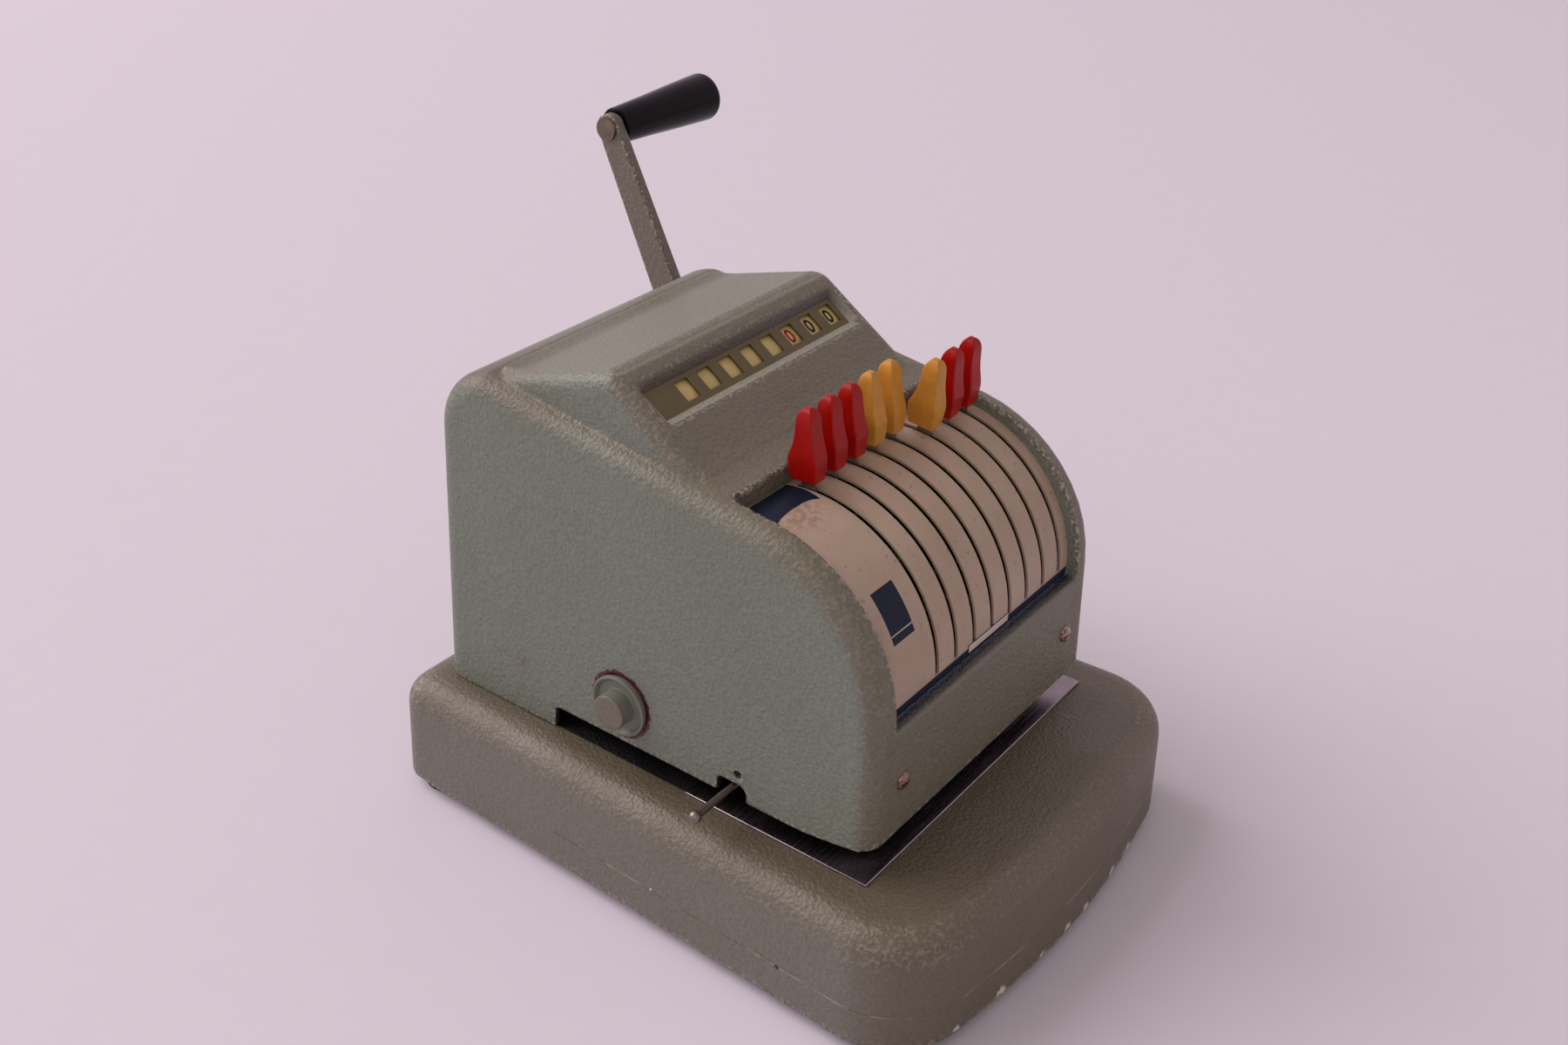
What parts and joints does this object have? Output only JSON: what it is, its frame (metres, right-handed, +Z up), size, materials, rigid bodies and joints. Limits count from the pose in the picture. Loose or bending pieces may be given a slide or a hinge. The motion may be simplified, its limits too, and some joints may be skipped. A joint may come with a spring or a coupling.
{
  "type": "check writer",
  "caption": "Desk machine that prints an amount into a check: digit levers in a slotted scale, number window, side handle and ink roller.",
  "frame": {"origin": "on the desk, under the middle of the base", "axes": "+X to the operator's right, +Y to the rear, +Z up"},
  "size_m": [0.2546, 0.3189, 0.249],
  "materials": {
    "base_paint": "crinkle paint, worn",
    "body_paint": "hammered grey-green paint",
    "zinc": "zinc plated",
    "dark_plate": "black paint",
    "foot_rubber": "matt",
    "table_steel": "bare steel, polished",
    "black_rubber": "ground",
    "old_brass": "dulled",
    "scale_paint": "cream print with a navy band",
    "mask_paint": "olive paint",
    "frame_steel": "plain",
    "bronze": "plain",
    "ivory": "digit printed",
    "red_plastic": "polished",
    "yellow_plastic": "polished, darkened",
    "black_plastic": "polished",
    "inked_felt": "soaked with ink",
    "spring_steel": "oiled"
  },
  "bodies": {
    "base": {"base_casting": "base_paint", "bottom_plate": "dark_plate", "base_screws": "zinc", "rubber_feet": "foot_rubber", "check_table": "table_steel", "housing": "body_paint", "front_screws": "old_brass", "scale_plate": "scale_paint", "window_mask": "mask_paint", "frame_left": "frame_steel", "frame_right": "frame_steel", "tie_rods": "frame_steel", "front_bar": "frame_steel", "lever_shaft": "frame_steel", "dial_shafts": "frame_steel", "detent_comb": "bronze", "handle_bush": "frame_steel", "return_spring": "spring_steel"},
    "lever_1": {"lever_1": "frame_steel", "knob_1": "red_plastic"},
    "idler_1": {"idler_1": "bronze"},
    "dial_1": {"dial_1": "ivory"},
    "lever_2": {"lever_2": "frame_steel", "knob_2": "red_plastic"},
    "idler_2": {"idler_2": "bronze"},
    "dial_2": {"dial_2": "ivory"},
    "lever_3": {"lever_3": "frame_steel", "knob_3": "red_plastic"},
    "idler_3": {"idler_3": "bronze"},
    "dial_3": {"dial_3": "ivory"},
    "lever_4": {"lever_4": "frame_steel", "knob_4": "yellow_plastic"},
    "idler_4": {"idler_4": "bronze"},
    "dial_4": {"dial_4": "ivory"},
    "lever_5": {"lever_5": "frame_steel", "knob_5": "yellow_plastic"},
    "idler_5": {"idler_5": "bronze"},
    "dial_5": {"dial_5": "ivory"},
    "lever_6": {"lever_6": "frame_steel", "knob_6": "yellow_plastic"},
    "idler_6": {"idler_6": "bronze"},
    "dial_6": {"dial_6": "ivory"},
    "lever_7": {"lever_7": "frame_steel", "knob_7": "red_plastic"},
    "idler_7": {"idler_7": "bronze"},
    "dial_7": {"dial_7": "ivory"},
    "lever_8": {"lever_8": "frame_steel", "knob_8": "red_plastic"},
    "idler_8": {"idler_8": "bronze"},
    "dial_8": {"dial_8": "ivory"},
    "handle": {"handle_shaft": "frame_steel", "handle_arm": "body_paint", "grip_pin": "zinc"},
    "grip": {"handle_grip": "black_plastic"},
    "platen": {"platen_arm": "frame_steel", "platen_pad": "black_rubber"},
    "feed_roller": {"feed_roller": "black_rubber"},
    "ink_cap": {"ink_roller_cap": "body_paint"},
    "ink_roller": {"ink_roller": "inked_felt"},
    "pin_lever": {"pin_lever": "zinc"}
  },
  "joints": [
    {"name": "lever_1_turn", "type": "hinge", "parent": "base", "child": "lever_1", "pos_m": [-0.0316, -0.0285, 0.117], "axis": [1, 0, 0], "range_deg": [0, 81.81]},
    {"name": "idler_1_turn", "type": "hinge", "parent": "base", "child": "idler_1", "pos_m": [-0.0316, 0.02069, 0.15915], "axis": [1, 0, 0], "range_deg": [-277.9, 1]},
    {"name": "dial_1_turn", "type": "hinge", "parent": "base", "child": "dial_1", "pos_m": [-0.0316, 0.0388, 0.17953], "axis": [1, 0, 0], "range_deg": [-1, 328.2]},
    {"name": "lever_2_turn", "type": "hinge", "parent": "base", "child": "lever_2", "pos_m": [-0.0189, -0.0285, 0.117], "axis": [1, 0, 0], "range_deg": [0, 81.81]},
    {"name": "idler_2_turn", "type": "hinge", "parent": "base", "child": "idler_2", "pos_m": [-0.0189, 0.02069, 0.15915], "axis": [1, 0, 0], "range_deg": [-277.9, 1]},
    {"name": "dial_2_turn", "type": "hinge", "parent": "base", "child": "dial_2", "pos_m": [-0.0189, 0.0388, 0.17953], "axis": [1, 0, 0], "range_deg": [-1, 328.2]},
    {"name": "lever_3_turn", "type": "hinge", "parent": "base", "child": "lever_3", "pos_m": [-0.0062, -0.0285, 0.117], "axis": [1, 0, 0], "range_deg": [0, 81.81]},
    {"name": "idler_3_turn", "type": "hinge", "parent": "base", "child": "idler_3", "pos_m": [-0.0062, 0.02069, 0.15915], "axis": [1, 0, 0], "range_deg": [-277.9, 1]},
    {"name": "dial_3_turn", "type": "hinge", "parent": "base", "child": "dial_3", "pos_m": [-0.0062, 0.0388, 0.17953], "axis": [1, 0, 0], "range_deg": [-1, 328.2]},
    {"name": "lever_4_turn", "type": "hinge", "parent": "base", "child": "lever_4", "pos_m": [0.0065, -0.0285, 0.117], "axis": [1, 0, 0], "range_deg": [0, 81.81]},
    {"name": "idler_4_turn", "type": "hinge", "parent": "base", "child": "idler_4", "pos_m": [0.0065, 0.02069, 0.15915], "axis": [1, 0, 0], "range_deg": [-277.9, 1]},
    {"name": "dial_4_turn", "type": "hinge", "parent": "base", "child": "dial_4", "pos_m": [0.0065, 0.0388, 0.17953], "axis": [1, 0, 0], "range_deg": [-1, 328.2]},
    {"name": "lever_5_turn", "type": "hinge", "parent": "base", "child": "lever_5", "pos_m": [0.0192, -0.0285, 0.117], "axis": [1, 0, 0], "range_deg": [0, 81.81]},
    {"name": "idler_5_turn", "type": "hinge", "parent": "base", "child": "idler_5", "pos_m": [0.0192, 0.02069, 0.15915], "axis": [1, 0, 0], "range_deg": [-277.9, 1]},
    {"name": "dial_5_turn", "type": "hinge", "parent": "base", "child": "dial_5", "pos_m": [0.0192, 0.0388, 0.17953], "axis": [1, 0, 0], "range_deg": [-1, 328.2]},
    {"name": "lever_6_turn", "type": "hinge", "parent": "base", "child": "lever_6", "pos_m": [0.0319, -0.0285, 0.117], "axis": [1, 0, 0], "range_deg": [-8.18, 73.63]},
    {"name": "idler_6_turn", "type": "hinge", "parent": "base", "child": "idler_6", "pos_m": [0.0319, 0.02069, 0.15915], "axis": [1, 0, 0], "range_deg": [-250.2, 28.7]},
    {"name": "dial_6_turn", "type": "hinge", "parent": "base", "child": "dial_6", "pos_m": [0.0319, 0.0388, 0.17953], "axis": [1, 0, 0], "range_deg": [-33.7, 295.5]},
    {"name": "lever_7_turn", "type": "hinge", "parent": "base", "child": "lever_7", "pos_m": [0.0446, -0.0285, 0.117], "axis": [1, 0, 0], "range_deg": [-8.18, 73.63]},
    {"name": "idler_7_turn", "type": "hinge", "parent": "base", "child": "idler_7", "pos_m": [0.0446, 0.02069, 0.15915], "axis": [1, 0, 0], "range_deg": [-250.2, 28.7]},
    {"name": "dial_7_turn", "type": "hinge", "parent": "base", "child": "dial_7", "pos_m": [0.0446, 0.0388, 0.17953], "axis": [1, 0, 0], "range_deg": [-33.7, 295.5]},
    {"name": "lever_8_turn", "type": "hinge", "parent": "base", "child": "lever_8", "pos_m": [0.0573, -0.0285, 0.117], "axis": [1, 0, 0], "range_deg": [-8.18, 73.63]},
    {"name": "idler_8_turn", "type": "hinge", "parent": "base", "child": "idler_8", "pos_m": [0.0573, 0.02069, 0.15915], "axis": [1, 0, 0], "range_deg": [-250.2, 28.7]},
    {"name": "dial_8_turn", "type": "hinge", "parent": "base", "child": "dial_8", "pos_m": [0.0573, 0.0388, 0.17953], "axis": [1, 0, 0], "range_deg": [-33.7, 295.5]},
    {"name": "handle_pull", "type": "hinge", "parent": "base", "child": "handle", "pos_m": [0.0845, 0.1061, 0.1022], "axis": [1, 0, 0], "range_deg": [0, 70], "stiffness_Nm_per_rad": 0.3, "springref_deg": -34.38, "deforming": ["return_spring"]},
    {"name": "grip_turn", "type": "hinge", "parent": "handle", "child": "grip", "pos_m": [0.12, 0.1702, 0.23781], "axis": [1, 0, 0], "continuous": true},
    {"name": "platen_lift", "type": "hinge", "parent": "base", "child": "platen", "pos_m": [0.004, 0.0715, 0.029], "axis": [-1, 0, 0], "range_deg": [0, 5.26]},
    {"name": "feed_roller_turn", "type": "hinge", "parent": "base", "child": "feed_roller", "pos_m": [0.005, 0.0345, 0.0447], "axis": [1, 0, 0], "continuous": true},
    {"name": "ink_cap_draw", "type": "slide", "parent": "base", "child": "ink_cap", "axis": [-1, 0, 0], "range_m": [0, 0.11]},
    {"name": "ink_roller_turn", "type": "hinge", "parent": "ink_cap", "child": "ink_roller", "pos_m": [0.01, 0.025, 0.0807], "axis": [1, 0, 0], "continuous": true},
    {"name": "pin_lever_swing", "type": "hinge", "parent": "base", "child": "pin_lever", "pos_m": [-0.06, -0.0294, 0.0681], "axis": [0, 0, 1], "range_deg": [-12, 12]}
  ],
  "couplings": [
    {"joint": "idler_1_turn", "follows": "lever_1_turn", "ratio": -3.3846},
    {"joint": "dial_1_turn", "follows": "lever_1_turn", "ratio": 4},
    {"joint": "idler_2_turn", "follows": "lever_2_turn", "ratio": -3.3846},
    {"joint": "dial_2_turn", "follows": "lever_2_turn", "ratio": 4},
    {"joint": "idler_3_turn", "follows": "lever_3_turn", "ratio": -3.3846},
    {"joint": "dial_3_turn", "follows": "lever_3_turn", "ratio": 4},
    {"joint": "idler_4_turn", "follows": "lever_4_turn", "ratio": -3.3846},
    {"joint": "dial_4_turn", "follows": "lever_4_turn", "ratio": 4},
    {"joint": "idler_5_turn", "follows": "lever_5_turn", "ratio": -3.3846},
    {"joint": "dial_5_turn", "follows": "lever_5_turn", "ratio": 4},
    {"joint": "idler_6_turn", "follows": "lever_6_turn", "ratio": -3.3846},
    {"joint": "dial_6_turn", "follows": "lever_6_turn", "ratio": 4},
    {"joint": "idler_7_turn", "follows": "lever_7_turn", "ratio": -3.3846},
    {"joint": "dial_7_turn", "follows": "lever_7_turn", "ratio": 4},
    {"joint": "idler_8_turn", "follows": "lever_8_turn", "ratio": -3.3846},
    {"joint": "dial_8_turn", "follows": "lever_8_turn", "ratio": 4},
    {"joint": "platen_lift", "follows": "handle_pull", "ratio": 0.073766}
  ]
}
